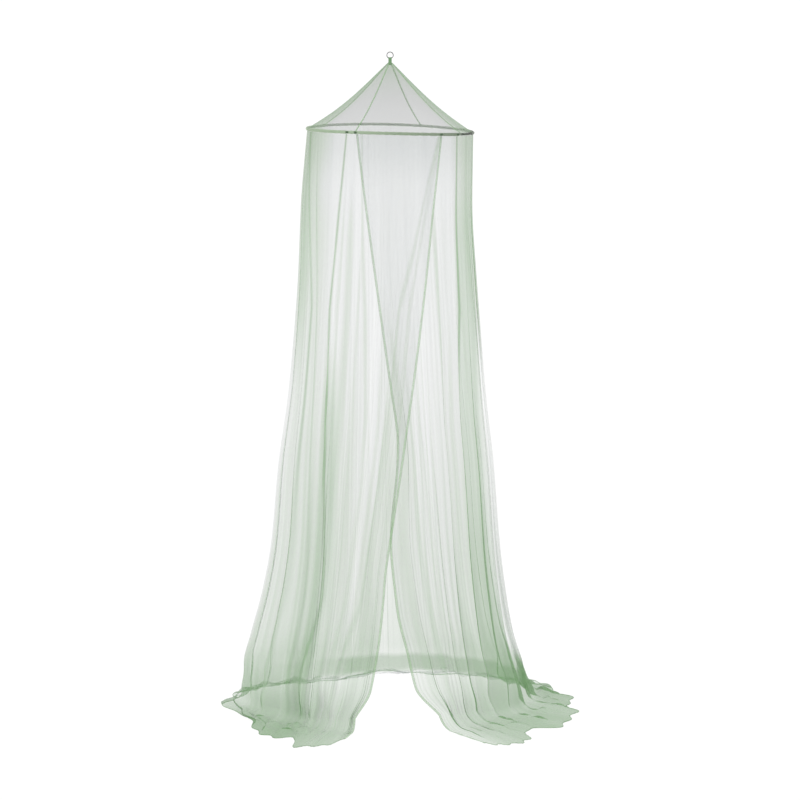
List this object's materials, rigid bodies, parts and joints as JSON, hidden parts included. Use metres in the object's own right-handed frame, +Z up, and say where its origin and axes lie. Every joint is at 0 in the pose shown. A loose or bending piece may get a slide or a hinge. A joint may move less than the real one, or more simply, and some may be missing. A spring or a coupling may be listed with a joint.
{
  "type": "round mosquito net canopy with its spreader hoop and hanging ring",
  "caption": "Sheer round mosquito net with a cone roof, hoop casing, overlapping front panels, floor trains and a hanging ring.",
  "frame": {"origin": "the hook's seat at the inner top of the hanging ring", "axes": "+Z up, -Y towards the overlapped front opening, +X to the right seen from the front"},
  "size_m": [1.326, 1.3331, 2.4105],
  "materials": {
    "steel": "polished wire",
    "rod": "zinc-plated",
    "joint": "dark coated sleeve",
    "tape": "woven tape",
    "casing": "folded net, two layers",
    "net": "sheer warp-knitted net, mint green"
  },
  "bodies": {
    "root": {"hang_ring": "steel", "apex_loop": "tape", "hoop": "rod", "hoop_joint": "joint", "hoop_casing": "casing", "roof_gore_1": "net", "roof_gore_2": "net", "roof_gore_3": "net", "roof_gore_4": "net", "panel_left": "net", "panel_right": "net"}
  },
  "joints": []
}
